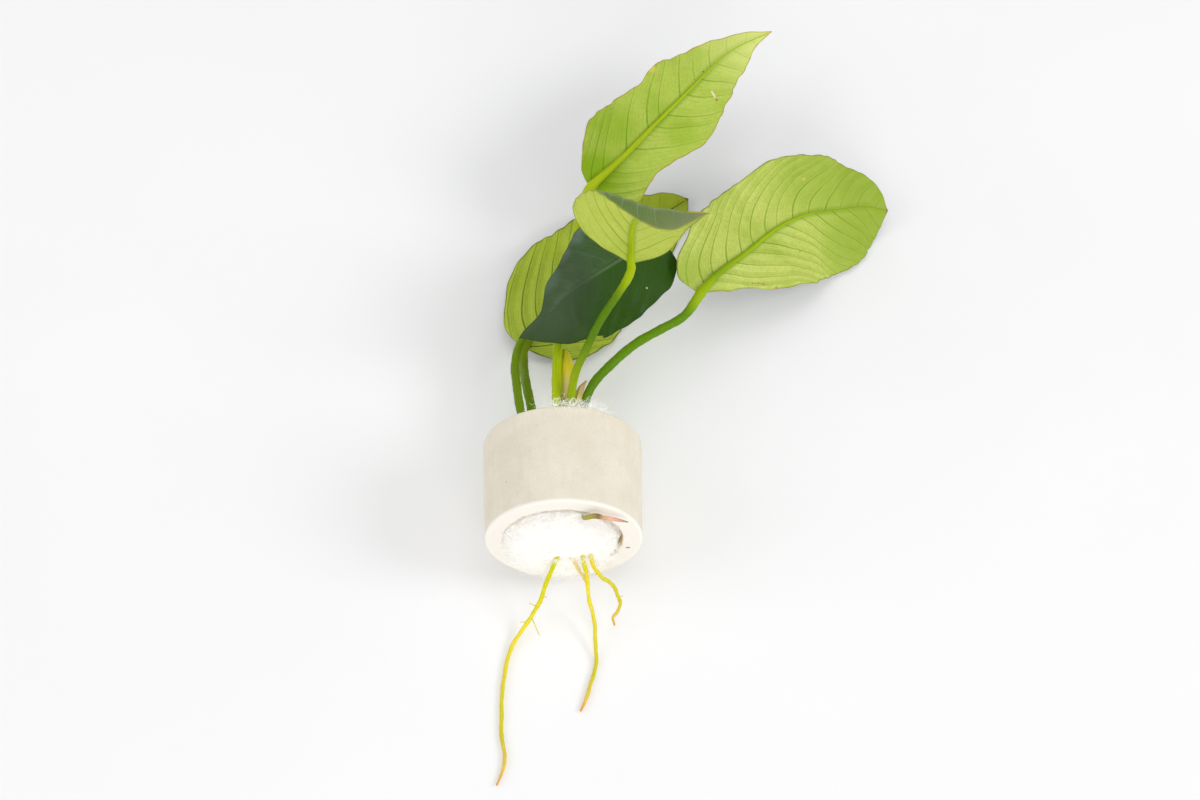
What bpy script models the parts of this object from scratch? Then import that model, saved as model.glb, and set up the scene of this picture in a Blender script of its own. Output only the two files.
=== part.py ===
"""Anubias held by white filter wool in a short ceramic ring that lies on its side.

The ring lies along Y: roots leave its base end towards -Y, leaves and their stems its other end
towards +Y. Sizes and places below are in millimetres from the floor point under the ring's centre,
and the finished plant is then moved so that the origin is the middle of its footprint.
"""

import math

import bmesh
import bpy
import numpy as np

MM = 0.001

RING_LENGTH = 33.5
RING_BASE_RADIUS = 24.5  # the ring widens a little towards the leaves
RING_LEAF_END_RADIUS = 25.1
BORE_RADIUS = 18.6
BORE_SHIFT_X = -0.3
EDGE_ROUNDING = 0.5
RING_SIDES = 64

GAP = 0.3  # left between pieces that touch
WOOL_RADIUS = BORE_RADIUS - 0.4
WOOL_SIDES = 36

LEAF_THICKNESS = 0.5
LEAF_RIB = 1  # how far the midrib stands out of the underside at the base of the blade
SCALE_THICKNESS = 0.35
SCALE_RIB = 0.15
LEAF_STATIONS = 16  # cross sections along a leaf
SCALE_STATIONS = 8
LEAF_ACROSS = (-1, -0.75, -0.5, -0.25, -0.07, 0, 0.07, 0.25, 0.5, 0.75, 1)
WIDTH_STATIONS = (0, 0.1, 0.2, 0.3, 0.4, 0.5, 0.6, 0.7, 0.8, 0.9, 0.96, 1)
TIP_HALF_WIDTH = 0.35
LOBE_REACH = 10  # a leaf's lobe is measured this far from its midrib
STEM_END_GAP = 1.3  # from a stem's end to the base of its leaf

CERAMIC = ((0.83, 0.79, 0.69), 0.85)
WOOL = ((0.93, 0.93, 0.91), 0.95)
RHIZOME = ((0.24, 0.30, 0.06), 0.6)
STEM = ((0.22, 0.33, 0.02), 0.4)
LEAF_UNDERSIDE = ((0.36, 0.47, 0.08), 0.45)
LEAF_UPPER_SIDE = ((0.04, 0.11, 0.02), 0.25)
SHEATH = ((0.52, 0.48, 0.03), 0.5)
DRY_SCALE = ((0.50, 0.42, 0.26), 0.7)
ROOT = ((0.76, 0.66, 0.05), 0.45)
PALE_ROOT = ((0.88, 0.72, 0.35), 0.5)
SHOOT = ((0.55, 0.42, 0.16), 0.5)

# Each stem runs from the rhizome, which lies across the ring, to the base of its leaf.
STEMS = {
    "stem_dark": (
        ((-11.4, 21.8, 24.6), (-13, 29.5, 24), (-14.5, 42, 22), (-15, 51.5, 20.3), (-13, 59, 21),
         (0, 68, 24.5), (19, 84.5, 26), (28.5, 91, 27.2), (33.3, 94.2, 28)),
        (1.4, 1.4, 1.3),
    ),
    "stem_back": (
        ((-8.2, 21.8, 21), (-9.6, 33, 19.6), (-11.5, 45.5, 16), (-12.5, 57, 9.5), (-12.3, 67, 5.3)),
        (1.5, 1.5, 1.6),
    ),
    "stem_top": (
        ((-2, 22, 25.5), (-1.6, 32, 26), (-1.5, 44, 24), (-1, 57.5, 21), (1, 79.5, 20),
         (5.5, 100, 22.5), (10.5, 114, 29.5)),
        (1.7, 1.6, 1.4),
    ),
    "stem_folded": (
        ((2.2, 22, 24.5), (2.8, 31.5, 27.5), (5, 41, 33), (7.5, 45, 36), (12.5, 53.5, 41),
         (19, 62.5, 44.6), (22, 67.5, 45.6), (23, 70.8, 46.5)),
        (1.3, 1.3, 1.2),
    ),
    "stem_right": (
        ((5.9, 21.8, 23.2), (6.9, 31.5, 25.3), (9.8, 38.5, 26.5), (16, 46, 27), (24.5, 53.5, 28),
         (32, 58, 28.5), (40, 63.5, 28), (45.5, 72.5, 27)),
        (1.3, 1.5, 1.4),
    ),
}

# midrib: base to tip. face: the way the upper side looks, base to tip. right and left: half widths at
# WIDTH_STATIONS, for someone who stands on the upper side and looks towards the tip. rise: the angle in
# degrees that each of the two lifts towards the upper side. lobe: how far the base reaches back.
LEAVES = {
    "leaf_top": dict(
        midrib=((10.5, 114, 30), (22, 123.5, 34), (32, 134, 36.5), (42.5, 146, 37), (60, 167.5, 34),
                (73.5, 178, 30)),
        face=((0, 0.52, -0.85),),
        right=(4, 13.5, 17, 15.5, 13.6, 14.5, 12, 8.5, 5.5, 3.2, 1.4, 0),
        left=(12, 14, 12, 13.4, 16.2, 15.3, 12.5, 10, 8, 3, 1, 0),
        rise=((6,), (6,)),
        lobe=1,
    ),
    "leaf_right": dict(
        midrib=((45.5, 72.5, 27), (51, 80, 26.5), (61.5, 90.5, 24), (72.5, 102, 21.5), (83, 110, 18),
                (94, 114.5, 13.75), (104.5, 118.5, 9.65), (111.5, 119, 6.75)),
        face=((0, 0.52, -0.85),),
        right=(11, 14.5, 19, 20.5, 20, 20.5, 21, 19.5, 17, 11, 5.5, 0),
        left=(0.5, 6, 10, 15.5, 20, 22, 22.5, 22, 20, 15.5, 13, 0),
        rise=((4,), (4,)),
        lobe=4,
    ),
    "leaf_back": dict(
        midrib=((-12.5, 67, 5), (-7.5, 75, 5.2), (12.5, 96.5, 4.2), (33, 119.5, 2.4), (44, 128.5, 1.4)),
        face=((0, 0.22, -0.97),),
        right=(8, 13, 18.7, 22, 22, 21, 19, 15.6, 11, 6, 3, 0),
        left=(13, 18, 20.5, 21, 19, 17.5, 15.5, 13.8, 12, 8, 4, 0),
        rise=((3,), (3,)),
        lobe=0,
    ),
    "leaf_dark": dict(
        midrib=((33, 93.5, 31), (20, 82, 34), (12.5, 76, 35), (1, 66, 36), (-4.5, 59.5, 35),
                (-13.5, 54, 31)),
        face=((0, -0.52, 0.85),),
        right=(4, 13, 15.6, 16.5, 16.3, 13, 9.5, 7, 3, 1.5, 1, 0),
        left=(10, 15, 17, 18.4, 19.3, 19.5, 19.3, 18, 13.5, 6.5, 2.5, 0),
        rise=((8,), (8,)),
        lobe=0,
    ),
}

# This leaf folds over: its blade rises, then turns forwards along a crest, so its two edges are given
# from base to tip beside the midrib. arch: how far the blade stands up between midrib and edge.
FOLDED_LEAF = dict(
    midrib=((23, 71, 48), (23, 72, 58), (23.5, 72, 68.5), (26.5, 70.5, 77.5), (32.5, 67, 84),
            (39, 62.5, 88.5), (45.5, 59, 92.5)),
    right_edge=((22.4, 71, 48), (9, 75.5, 57.5), (4.5, 79, 69), (11, 76.5, 81), (23.5, 63, 84.5),
                (34, 56.5, 87.5), (45.2, 58.7, 92.4)),
    left_edge=((23.6, 71, 48), (32.5, 70, 54), (37.5, 70, 61.5), (39.5, 68, 69.5), (41, 64.5, 77.5),
               (43, 61.5, 85), (45.8, 59.3, 92.6)),
    arch=1.5,
)

# Thin blades at the stems' feet: a young yellow sheath beside stem_top, a dry scale beside stem_right.
SCALES = {
    "leaf_sheath": dict(
        midrib=((0.3, 22.3, 24.2), (1, 31, 25.3), (1.5, 39, 25), (2.1, 45, 24.5), (1.8, 49, 23.5),
                (1.3, 53, 22)),
        face=((0, -0.52, 0.85),),
        right=(0.3, 0.3, 0.4, 0.5, 0.6, 0.8, 1.1, 1.2, 1, 0.6, 0.3, 0),
        left=(0.3, 0.3, 0.4, 0.5, 0.6, 0.8, 1.1, 1.1, 0.9, 0.5, 0.3, 0),
        rise=((15,), (15,)),
        lobe=0,
    ),
    "dry_scale": dict(
        midrib=((4.5, 30, 25.6), (5.2, 33.5, 27.2), (6.1, 36.5, 27.8), (7.4, 39.2, 28.4)),
        face=((0, -0.52, 0.85),),
        right=(0.5, 0.6, 0.8, 0.9, 1, 1, 0.9, 0.8, 0.6, 0.4, 0.3, 0),
        left=(0.5, 0.6, 0.8, 0.9, 1, 1, 0.9, 0.8, 0.6, 0.4, 0.3, 0),
        rise=((25,), (25,)),
        lobe=0,
    ),
}

# Roots leave the rhizome, pass through the wool and come out of its face at the ring's base end.
ROOTS = {
    "root_long": (
        ((-5.5, 12, 23), (-2.6, -8, 22), (-2, -19.5, 19.5), (-3.5, -21.8, 16.5), (-6, -26, 12),
         (-7.5, -29.5, 9), (-10.5, -33, 5), (-16.5, -41.5, 1.5), (-18.5, -47.5, 1.1), (-19.5, -55, 1),
         (-20, -63.5, 1), (-20, -72, 1), (-19, -78.5, 1), (-19.5, -83, 1), (-21.5, -88.5, 0.9)),
        (0.8, 0.8, 0.8, 0.7, 0.7, 0.5),
    ),
    "root_middle": (
        ((3.6, 12, 23.5), (5.4, -8, 22.5), (5.8, -19.5, 20), (7, -24, 15), (7.5, -29, 11),
         (9, -35, 6.5), (9.5, -40.5, 3), (9.5, -47.5, 1.1), (8, -54.5, 1), (6, -60.5, 1),
         (4.5, -64, 1)),
        (0.7, 0.7, 0.7, 0.6, 0.6),
    ),
    "root_short": (
        ((6.8, 12, 24), (8.4, -8, 22.5), (8.4, -19, 20), (9.3, -22, 17), (12, -24.5, 14),
         (15, -26, 12), (16.5, -28.5, 10), (17.5, -31, 8), (16.5, -32.5, 6), (15, -34, 5),
         (15.5, -36, 4)),
        (0.8, 0.8, 0.8, 0.7, 0.5),
    ),
    "root_pale": (
        ((0, 12, 22), (1.3, -8, 21), (2, -19.3, 19.2), (4, -21.4, 16), (6, -23.4, 12.5),
         (7, -24.7, 10)),
        (0.6, 0.6, 0.6, 0.5),
    ),
}

RHIZOME_PATH = ((-15.5, 17, 23), (-9, 17, 22.8), (-2, 17, 23.6), (5, 17, 23.6), (9.5, 17, 23.2))
RHIZOME_RADII = (2.6, 3.7, 4, 3.9, 2.6)
SHOOT_PATH = ((5.6, -14.5, 39.3), (6.2, -17.6, 40.4), (7.3, -19, 42.8), (9.4, -19.1, 43.9),
              (12.5, -19, 42.6), (16, -19, 41.3), (19.8, -19.2, 40))
SHOOT_RADII = (0.7, 0.8, 0.9, 1, 0.9, 0.7, 0.3)

# The wool along Y: radius towards the top, the sides and the bottom. It swells out of the base end and
# hangs over the lower part of its rim, and it bulges a little out of the leaf end.
WOOL_RINGS = (
    (-20.9, 5, 5, 7),
    (-20.5, 10, 10, 13),
    (-19.6, 14, 14.5, 18),
    (-18.3, 16.6, 17, 20.6),
    (-17.2, 17.4, 17.6, 20.6),
    (-17.15, 17.6, 17.7, 18),
    (-12, 17.8, 17.4, WOOL_RADIUS),
    (-6, WOOL_RADIUS, WOOL_RADIUS, WOOL_RADIUS),
    (14, WOOL_RADIUS, WOOL_RADIUS, WOOL_RADIUS),
    (17.5, 17.4, 16.5, 16.5),
    (20, 15, 12, 11),
    (21, 11, 6, 5),
)


def material(name, look):
    colour, roughness = look
    made = bpy.data.materials.new(name)
    made.use_nodes = True
    surface = made.node_tree.nodes["Principled BSDF"]
    surface.inputs["Base Color"].default_value = (*colour, 1)
    surface.inputs["Roughness"].default_value = roughness
    surface.inputs["Metallic"].default_value = 0
    return made


def smooth(rows, knots, at):
    """The rows read at the places `at`, on a smooth curve that passes through each row at its knot."""
    rows, knots, at = (np.array(values, float) for values in (rows, knots, at))
    slopes = np.gradient(rows, knots, axis=0)
    start = np.clip(np.searchsorted(knots, at, side="right") - 1, 0, len(knots) - 2)
    span = knots[start + 1] - knots[start]
    t = (at - knots[start]) / span
    if rows.ndim == 2:
        t, span = t[:, None], span[:, None]
    return (
        (1 + 2 * t) * (1 - t) ** 2 * rows[start]
        + t * (1 - t) ** 2 * span * slopes[start]
        + t * t * (3 - 2 * t) * rows[start + 1]
        - t * t * (1 - t) * span * slopes[start + 1]
    )


def path(points, count):
    """Points spaced evenly along a smooth curve through the given ones."""
    steps = np.linalg.norm(np.diff(np.array(points, float), axis=0), axis=1)
    along = np.concatenate(([0], np.cumsum(steps)))
    return smooth(points, along, np.linspace(0, along[-1], count))


def spread(values, count):
    """Values given evenly from end to end, read at count places."""
    if len(values) == 1:
        return np.repeat(np.array(values, float), count, axis=0)
    return smooth(values, np.linspace(0, 1, len(values)), np.linspace(0, 1, count))


def finish(name, mesh, look, smooth_angle=40):
    made = bpy.data.objects.new(name, mesh)
    bpy.context.scene.collection.objects.link(made)
    mesh.shade_smooth()
    mesh.set_sharp_from_angle(angle=math.radians(smooth_angle))
    if look:
        mesh.materials.clear()
        mesh.materials.append(material(name, look))
    return made


def loft(name, sections, look, ends="fans", smooth_angle=40):
    """A closed body through sections with equally many points: `ends` are flat, strips or joined."""
    shape = bmesh.new()
    rings = [[shape.verts.new(np.array(point) * MM) for point in section] for section in sections]
    sides = len(rings[0])
    pairs = list(zip(rings, rings[1:]))
    if ends == "joined":
        pairs.append((rings[-1], rings[0]))
    for first, second in pairs:
        for i in range(sides):
            j = (i + 1) % sides
            shape.faces.new((first[i], first[j], second[j], second[i]))
    for ring in (rings[0], rings[-1]):
        if ends == "fans":
            shape.faces.new(ring)
        elif ends == "strips":
            for i in range(sides // 2 - 1):
                shape.faces.new((ring[i], ring[i + 1], ring[sides - 2 - i], ring[sides - 1 - i]))
    bmesh.ops.recalc_face_normals(shape, faces=shape.faces)
    mesh = bpy.data.meshes.new(name)
    shape.to_mesh(mesh)
    shape.free()
    return finish(name, mesh, look, smooth_angle)


def tube(name, points, radii, look, steps, grow=0, roundness=2):
    """A round stem or root along a smooth curve, with closed ends. It grows all round, ends too."""
    points = np.array(points, float)
    for end, before in ((0, 1), (-1, -2)):
        way = points[end] - points[before]
        points[end] += way / np.linalg.norm(way) * grow
    curve = bpy.data.curves.new(name, "CURVE")
    curve.dimensions = "3D"
    curve.bevel_depth = MM
    curve.bevel_resolution = roundness
    curve.use_fill_caps = True
    spline = curve.splines.new("POLY")
    spline.points.add(steps - 1)
    for point, place, radius in zip(spline.points, path(points, steps), spread(radii, steps)):
        point.co = (*(place * MM), 1)
        point.radius = radius + grow
    guide = bpy.data.objects.new(name + "_guide", curve)
    bpy.context.scene.collection.objects.link(guide)
    graph = bpy.context.evaluated_depsgraph_get()
    mesh = bpy.data.meshes.new_from_object(guide.evaluated_get(graph))
    bpy.data.objects.remove(guide)
    shape = bmesh.new()
    shape.from_mesh(mesh)
    bmesh.ops.remove_doubles(shape, verts=shape.verts, dist=1e-6)
    bmesh.ops.recalc_face_normals(shape, faces=shape.faces)
    shape.to_mesh(mesh)
    shape.free()
    mesh.name = name
    return finish(name, mesh, look)


def blade(name, grid, look, rib=LEAF_RIB, thickness=LEAF_THICKNESS):
    """A thin closed body under a grid of upper side points, with its midrib raised on the underside."""
    # The underside lies along the blade's own normals, evened out across each section.
    above = np.cross(np.gradient(grid, LEAF_ACROSS, axis=1), np.gradient(grid, axis=0))
    above /= np.linalg.norm(above, axis=2)[:, :, None]
    above += above.mean(axis=1)[:, None]
    above /= np.linalg.norm(above, axis=2)[:, :, None]
    depth = np.full(grid.shape[:2], float(thickness))
    depth[:, LEAF_ACROSS.index(0)] += rib * np.linspace(1, 0.2, len(grid))
    under = grid - above * depth[:, :, None]
    sections = [list(over) + list(below[::-1]) for over, below in zip(grid, under)]
    return loft(name, sections, look, ends="strips", smooth_angle=60)


def leaf_grid(midrib, face, right, left, rise, lobe, count=LEAF_STATIONS):
    """Upper side of a blade that spreads to both sides of its midrib."""
    along = np.linspace(0, 1, count)
    centre = path(midrib, count)
    ahead = np.gradient(centre, axis=0)
    ahead /= np.linalg.norm(ahead, axis=1)[:, None]
    aside = np.cross(ahead, spread(face, count))
    aside /= np.linalg.norm(aside, axis=1)[:, None]
    above = np.cross(aside, ahead)
    back = lobe * np.clip(1 - along / 0.15, 0, 1) ** 2
    columns = []
    for place in LEAF_ACROSS:
        half = right if place > 0 else left
        width = np.maximum(smooth(half, WIDTH_STATIONS, along), TIP_HALF_WIDTH) * abs(place)
        angle = np.radians(spread(rise[0] if place > 0 else rise[1], count))
        columns.append(
            centre
            + aside * (math.copysign(1, place) * width * np.cos(angle))[:, None]
            + above * (width * np.sin(angle))[:, None]
            - ahead * (back * (width / LOBE_REACH) ** 2)[:, None]
        )
    return np.stack(columns, axis=1)


def folded_grid(midrib, right_edge, left_edge, arch, count=LEAF_STATIONS):
    """Upper side of a blade between two edges and a midrib."""
    centre, right, left = (spread(curve, count) for curve in (midrib, right_edge, left_edge))
    above = np.cross(right - left, np.gradient(centre, axis=0))
    above /= np.linalg.norm(above, axis=1)[:, None]
    width = np.linalg.norm(right - left, axis=1)
    swell = arch * width / width.max()
    columns = []
    for place in LEAF_ACROSS:
        edge = right if place > 0 else left
        lift = 4 * swell * abs(place) * (1 - abs(place))
        columns.append(centre + (edge - centre) * abs(place) + above * lift[:, None])
    return np.stack(columns, axis=1)


def ceramic_ring():
    """The ring's wall, turned round Y. Each circle rests on the floor, so the ring lies flat."""
    half = RING_LENGTH / 2
    edge = EDGE_ROUNDING
    rim = (RING_BASE_RADIUS, RING_LEAF_END_RADIUS)
    wall = [  # outwards from the axis at the base end, along the outside, and back through the bore
        (BORE_RADIUS + edge, -half), (rim[0] - edge, -half), (rim[0] - 0.15, -half + 0.15),
        (rim[0], -half + edge), (rim[1], half - edge), (rim[1] - 0.15, half - 0.15),
        (rim[1] - edge, half), (BORE_RADIUS + edge, half), (BORE_RADIUS, half - edge),
        (BORE_RADIUS, -half + edge),
    ]
    sections = []
    for step in range(RING_SIDES):
        turn = 2 * math.pi * (step + 0.5) / RING_SIDES
        section = []
        for radius, y in wall:
            height = np.interp(y, (-half, half), rim)
            shift = BORE_SHIFT_X if radius < BORE_RADIUS + 2 * edge else 0
            out = radius / math.cos(math.pi / RING_SIDES)
            section.append((shift + out * math.sin(turn), y, height - out * math.cos(turn)))
        sections.append(section)
    return loft("ceramic_ring", sections, CERAMIC, ends="joined")


def wool_plug():
    """Filter wool that fills the bore, cut away where the rhizome, the roots and the shoot pass."""
    sections = []
    for y, top, side, bottom in WOOL_RINGS:
        section = []
        for step in range(WOOL_SIDES):
            turn = 2 * math.pi * step / WOOL_SIDES
            across, up = math.sin(turn), math.cos(turn)
            end = top if up > 0 else bottom
            radius = end * up * up + side * across * across
            centre = np.interp(y, (-RING_LENGTH / 2, RING_LENGTH / 2),
                               (RING_BASE_RADIUS, RING_LEAF_END_RADIUS))
            section.append((BORE_SHIFT_X + radius * across, y, centre + radius * up))
        sections.append(section)
    wool = loft("wool_plug", sections, WOOL, smooth_angle=60)
    cutters = [tube("rhizome_cutter", RHIZOME_PATH, RHIZOME_RADII, None, 9, grow=GAP + 0.1)]
    cutters.append(tube("shoot_cutter", SHOOT_PATH, SHOOT_RADII, None, 11, grow=GAP + 0.1))
    for name, (points, radii) in ROOTS.items():
        inside = [(points[0][0], points[0][1] + 3, points[0][2]), *points[:4]]
        cutters.append(tube(name + "_cutter", inside, radii[:2], None, 9, grow=GAP + 0.3))
    for name, (points, radii) in STEMS.items():
        cutters.append(tube(name + "_cutter", points[:3], radii[:2], None, 7, grow=GAP + 0.3))
    for cutter in cutters:
        cutter.hide_render = True
        cutter.display_type = "WIRE"
        cut = wool.modifiers.new(cutter.name, "BOOLEAN")
        cut.object = cutter
        cut.operation = "DIFFERENCE"
    return wool


def main():
    for existing in list(bpy.data.objects):
        bpy.data.objects.remove(existing)

    pieces = [ceramic_ring(), wool_plug()]
    pieces.append(tube("rhizome", RHIZOME_PATH, RHIZOME_RADII, RHIZOME, 9, roundness=3))
    pieces.append(tube("side_shoot", SHOOT_PATH, SHOOT_RADII, SHOOT, 11))
    for name, (points, radii) in STEMS.items():
        last = np.array(points[-1], float)
        way = last - points[-2]
        end = last - way / np.linalg.norm(way) * STEM_END_GAP
        pieces.append(tube(name, (*points[:-1], tuple(end)), radii, STEM, 18))
    for name, spec in LEAVES.items():
        look = LEAF_UPPER_SIDE if name == "leaf_dark" else LEAF_UNDERSIDE
        pieces.append(blade(name, leaf_grid(**spec), look))
    pieces.append(blade("leaf_folded", folded_grid(**FOLDED_LEAF), LEAF_UNDERSIDE))
    for name, spec in SCALES.items():
        look = SHEATH if name == "leaf_sheath" else DRY_SCALE
        grid = leaf_grid(**spec, count=SCALE_STATIONS)
        pieces.append(blade(name, grid, look, SCALE_RIB, SCALE_THICKNESS))
    for name, (points, radii) in ROOTS.items():
        steps = 36 if name == "root_long" else 24
        pieces.append(tube(name, points, radii, ROOT if name != "root_pale" else PALE_ROOT, steps,
                           roundness=1))

    plant = bpy.data.objects.new("plant", None)
    bpy.context.scene.collection.objects.link(plant)
    for made in bpy.data.objects:
        if made != plant:
            made.parent = plant  # the wool's cutters too, so that they stay in their places
    bpy.context.view_layer.update()
    corners = np.array([tuple(piece.matrix_world @ vertex.co)
                        for piece in pieces for vertex in piece.data.vertices])
    low, high = corners.min(axis=0), corners.max(axis=0)
    plant.location = (-(low[0] + high[0]) / 2, -(low[1] + high[1]) / 2, -low[2])


main()
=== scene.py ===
import math
import random

import bmesh
import bpy
import numpy as np
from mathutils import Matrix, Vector, noise


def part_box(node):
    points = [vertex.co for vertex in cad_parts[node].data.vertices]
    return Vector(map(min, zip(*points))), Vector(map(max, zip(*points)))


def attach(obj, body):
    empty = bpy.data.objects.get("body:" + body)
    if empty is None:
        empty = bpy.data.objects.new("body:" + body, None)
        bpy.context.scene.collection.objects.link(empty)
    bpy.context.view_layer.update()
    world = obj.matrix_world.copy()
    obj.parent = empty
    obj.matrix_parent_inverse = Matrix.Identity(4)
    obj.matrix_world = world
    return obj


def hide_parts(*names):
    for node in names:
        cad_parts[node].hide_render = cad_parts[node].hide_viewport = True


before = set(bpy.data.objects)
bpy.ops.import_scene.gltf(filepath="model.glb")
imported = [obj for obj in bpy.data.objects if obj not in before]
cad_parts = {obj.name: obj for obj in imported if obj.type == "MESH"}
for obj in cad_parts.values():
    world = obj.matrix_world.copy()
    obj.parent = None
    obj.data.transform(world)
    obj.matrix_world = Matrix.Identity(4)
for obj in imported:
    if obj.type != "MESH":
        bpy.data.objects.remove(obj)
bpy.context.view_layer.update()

# ---- Camera and lights
# The plant lies on a white table under big soft lamps, the stronger one on the right, and is
# looked down on from beyond the roots. Lengths in this file are millimetres from the floor point
# under the middle of the ring: X to the right, Y along the ring to the leaves, Z up.
ring_low, ring_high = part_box("ceramic_ring")
RING_FOOT = np.array([(ring_low[0] + ring_high[0]) / 2, (ring_low[1] + ring_high[1]) / 2, 0])
LOOK_AT = (12.2, 33.9, 25)
CAMERA_DISTANCE = 0.96
CAMERA_HEIGHT_ANGLE = 58.6
CAMERA_SIDE_ANGLE = -1
ALL_WHITE = (1, 1, 1, 1)
MM = 0.001


def metres(points):
    """Places in this file's millimetres, as places in the frame."""
    return RING_FOOT + np.array(points, float) * MM


def deselect():
    """Lets go of everything, so that the next operator acts on its own piece alone."""
    bpy.ops.object.select_all(action="DESELECT")


turn, lift = math.radians(CAMERA_SIDE_ANGLE), math.radians(CAMERA_HEIGHT_ANGLE)
back = Vector((math.sin(turn) * math.cos(lift), -math.cos(turn) * math.cos(lift), math.sin(lift)))
camera = bpy.data.objects.new("camera", bpy.data.cameras.new("camera"))
camera.data.lens = 90
camera.data.sensor_width = 36
camera.data.clip_start = 0.02
camera.data.dof.use_dof = False
camera.rotation_euler = back.to_track_quat("Z", "Y").to_euler()
camera.location = Vector(metres(LOOK_AT)) + back * CAMERA_DISTANCE
bpy.context.scene.collection.objects.link(camera)
bpy.context.scene.camera = camera
bpy.context.scene.view_settings.view_transform = "Standard"

deselect()
for name, place, size, watts in (
    ("lamp_right", (1.7, -0.35, 1.35), 0.9, 13.5),
    ("lamp_front", (0.2, -1.9, 0.9), 1.3, 11.5),
    ("lamp_left", (-1.6, -0.2, 1.1), 1.4, 7.5),
    ("lamp_overhead", (0.1, 0.3, 2.4), 1.6, 7),
):
    bpy.ops.object.light_add(type="AREA", location=place)
    lamp = bpy.context.object
    lamp.name = name
    lamp.data.shape = "DISK"
    lamp.data.size = size
    lamp.data.energy = watts
    lamp.rotation_euler = (Vector(place) - Vector((0, 0.03, 0.02))).to_track_quat("Z", "Y").to_euler()
room = bpy.data.worlds.new("white_room")
room.use_nodes = True
room.node_tree.nodes["Background"].inputs["Color"].default_value = ALL_WHITE
room.node_tree.nodes["Background"].inputs["Strength"].default_value = 0.56
bpy.context.scene.world = room


# ---- The table
# A plain white table top of opal glass, faintly lit from below so that shadows stay pale. It fills
# the view, its far edges out of sight.
class Wire:
    """A value on its way through a finish. Sums and products of wires add the Math nodes for them."""

    def __init__(self, tree, socket):
        self.tree = tree
        self.socket = socket

    def node(self, kind, settings=None, inputs=None, output=0):
        """Adds a node of a kind, sets it, joins or fills its sockets, and gives a wire from an output."""
        made = self.tree.nodes.new("ShaderNode" + kind)
        for name, value in (settings or {}).items():
            if name == "stops":
                while len(made.color_ramp.elements) < len(value):
                    made.color_ramp.elements.new(0.5)
                for element, (position, colour) in zip(made.color_ramp.elements, value):
                    element.position = position
                    element.color = tone(colour)
            else:
                setattr(made, name, value)
        for name, value in (inputs or {}).items():
            if isinstance(value, Wire):
                self.tree.links.new(value.socket, made.inputs[name])
            else:
                made.inputs[name].default_value = value
        return Wire(self.tree, made.outputs[output])

    def maths(self, operation, *values):
        return self.node("Math", {"operation": operation}, dict(enumerate(values)))

    def __add__(self, other):
        return self.maths("ADD", self, other)

    def __sub__(self, other):
        return self.maths("SUBTRACT", self, other)

    def __rsub__(self, other):
        return self.maths("SUBTRACT", other, self)

    def __mul__(self, other):
        return self.maths("MULTIPLY", self, other)

    def __abs__(self):
        return self.maths("ABSOLUTE", self)

    __radd__ = __add__
    __rmul__ = __mul__

    def between(self, low, high):
        """0 below low, 1 above high, and a soft step from one to the other."""
        limits = {"Value": self, "From Min": low, "From Max": high}
        return self.node("MapRange", {"interpolation_type": "SMOOTHSTEP"}, limits)

    def mix(self, first, second):
        """The first colour where this wire is 0, the second where it is 1."""
        return self.node("Mix", {"data_type": "RGBA"}, {0: self, 6: tone(first), 7: tone(second)}, 2)

    def grain(self, scale, detail=2, roughness=0.5):
        sizes = {"Vector": self, "Scale": scale, "Detail": detail, "Roughness": roughness}
        return self.node("TexNoise", None, sizes)

    def stretched(self, x, y, z):
        return self.node("VectorMath", {"operation": "MULTIPLY"}, {0: self, 1: (x, y, z)})

    def spot(self, centre, inner, outer):
        """1 within `inner` of a centre and 0 beyond `outer`, measured as this wire's places are."""
        apart = self.node("VectorMath", {"operation": "DISTANCE"}, {0: self, 1: centre}, "Value")
        return 1 - apart.between(inner, outer)

    def parts(self):
        """The three numbers of a place, one wire each."""
        return [self.node("SeparateXYZ", None, {0: self}, axis) for axis in range(3)]

    def kept(self, name):
        """What a piece's mesh keeps under this name at each corner."""
        return self.node("Attribute", {"attribute_name": name}, None, "Vector")

    def into(self, shader, name):
        self.tree.links.new(self.socket, shader.inputs[name])


def tone(colour):
    """A colour of this file, each part from 0 to 255 as on a paint card, in a finish's linear light."""
    if isinstance(colour, Wire):
        return colour
    parts = [part / 255 for part in colour]
    return (*[p / 12.92 if p < 0.04045 else ((p + 0.055) / 1.055) ** 2.4 for p in parts], 1)


def new_finish(name, **fixed):
    """A finish, its shader with the values that are the same all over, and a wire on the piece's place."""
    look = bpy.data.materials.new(name)
    look.use_nodes = True
    shader = look.node_tree.nodes["Principled BSDF"]
    for socket, value in fixed.items():
        shader.inputs[socket.replace("_", " ")].default_value = value
    place = Wire(look.node_tree, None).node("TexCoord", None, None, "Object")
    return look, shader, place


def coat(shader, colour, height, strength, depth):
    """Gives a shader its colour, and the small hills of its skin, as deep as `depth` metres."""
    colour.into(shader, "Base Color")
    hills = {"Height": height, "Strength": strength, "Distance": depth}
    height.node("Bump", None, hills).into(shader, "Normal")


deselect()
bpy.ops.mesh.primitive_circle_add(vertices=96, radius=3, fill_type="NGON", location=(0, 0, 0))
table = bpy.context.object
table.name = "table_top"
bpy.ops.object.mode_set(mode="EDIT")
bpy.ops.mesh.select_all(action="SELECT")
bpy.ops.mesh.extrude_region_move(TRANSFORM_OT_translate={"value": (0, 0, -0.03)})
bpy.ops.mesh.normals_make_consistent(inside=False)
bpy.ops.object.mode_set(mode="OBJECT")
white, shader, place = new_finish(
    "table_white", Roughness=0.75, Emission_Color=ALL_WHITE, Emission_Strength=0.12,
)
clouds = place.grain(6, 4).between(0.2, 0.8)
clouds.mix((230, 230, 231), (234, 234, 235)).into(shader, "Base Color")
table.data.materials.append(white)

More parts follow.
